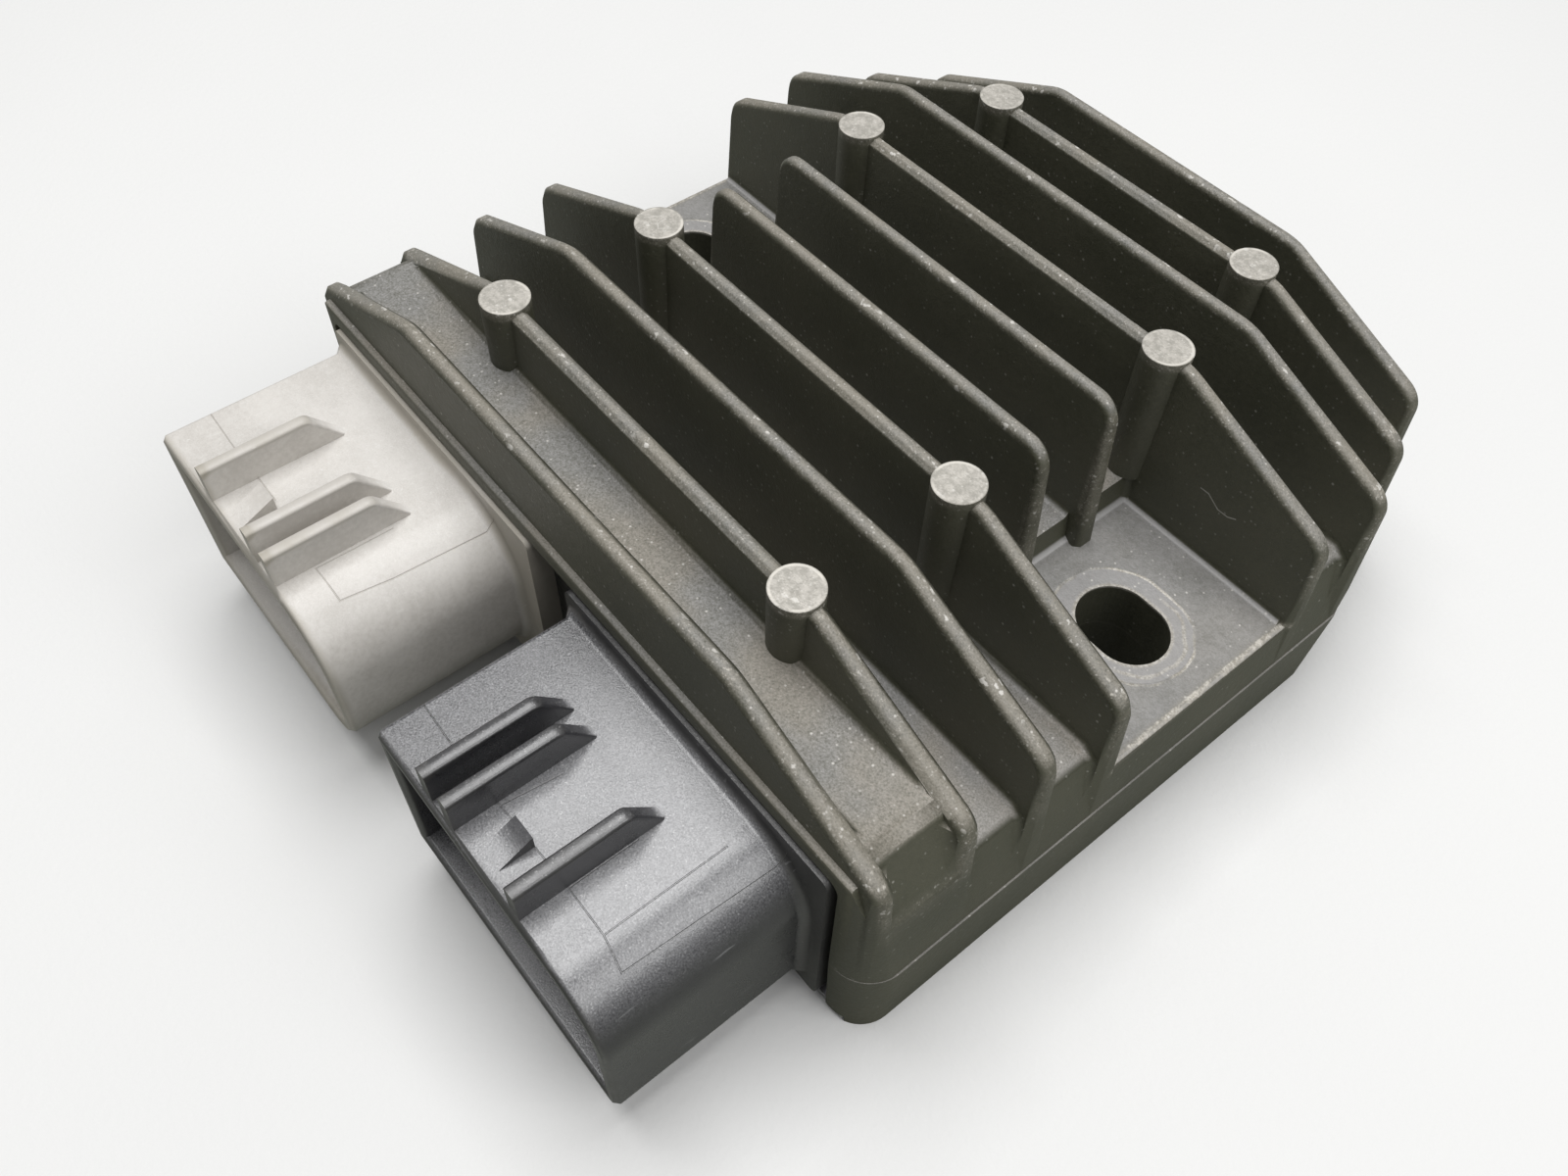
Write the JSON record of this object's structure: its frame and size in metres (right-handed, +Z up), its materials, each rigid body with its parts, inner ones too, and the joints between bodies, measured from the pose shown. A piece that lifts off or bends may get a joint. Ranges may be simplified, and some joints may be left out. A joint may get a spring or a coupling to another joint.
{
  "type": "voltage regulator rectifier",
  "caption": "Sealed finned regulator rectifier with a die-cast case, slotted side mounts and grey and black blade sockets at one end",
  "frame": {"origin": "on the underside, at the centre of the line between the two mounting slots", "axes": "+X along the fins from the grey socket's side to the black socket's side, -Y towards the socket mouths, +Z up from the mounting face"},
  "size_m": [0.085, 0.1004, 0.035],
  "materials": {
    "cast_aluminium": "dark weathered die casting",
    "plate_metal": "bright thin sheet",
    "grey_plastic": "light grey moulding with dirt in its edges",
    "black_plastic": "satin black moulding",
    "terminal_metal": "tinned blade",
    "thermal_sheet": "soft grey sheet",
    "power_board": "metal-core board",
    "device_package": "moulded package",
    "control_board": "printed board",
    "can_metal": "drawn can",
    "pin_metal": "tinned pin",
    "screw_metal": "zinc-plated",
    "resin": "black potting compound"
  },
  "bodies": {
    "root": {"heatsink_case": "cast_aluminium", "bottom_plate": "plate_metal", "grey_socket_housing": "grey_plastic", "black_socket_housing": "black_plastic", "grey_terminal_1": "terminal_metal", "grey_terminal_2": "terminal_metal", "grey_terminal_3": "terminal_metal", "black_terminal_1": "terminal_metal", "black_terminal_2": "terminal_metal", "black_terminal_3": "terminal_metal", "thermal_sheet": "thermal_sheet", "power_board": "power_board", "mosfet_1": "device_package", "mosfet_2": "device_package", "mosfet_3": "device_package", "mosfet_4": "device_package", "mosfet_5": "device_package", "mosfet_6": "device_package", "control_board": "control_board", "control_chip": "device_package", "filter_capacitor": "can_metal", "board_pins": "pin_metal", "board_screws": "screw_metal", "potting_resin": "resin"}
  },
  "joints": []
}
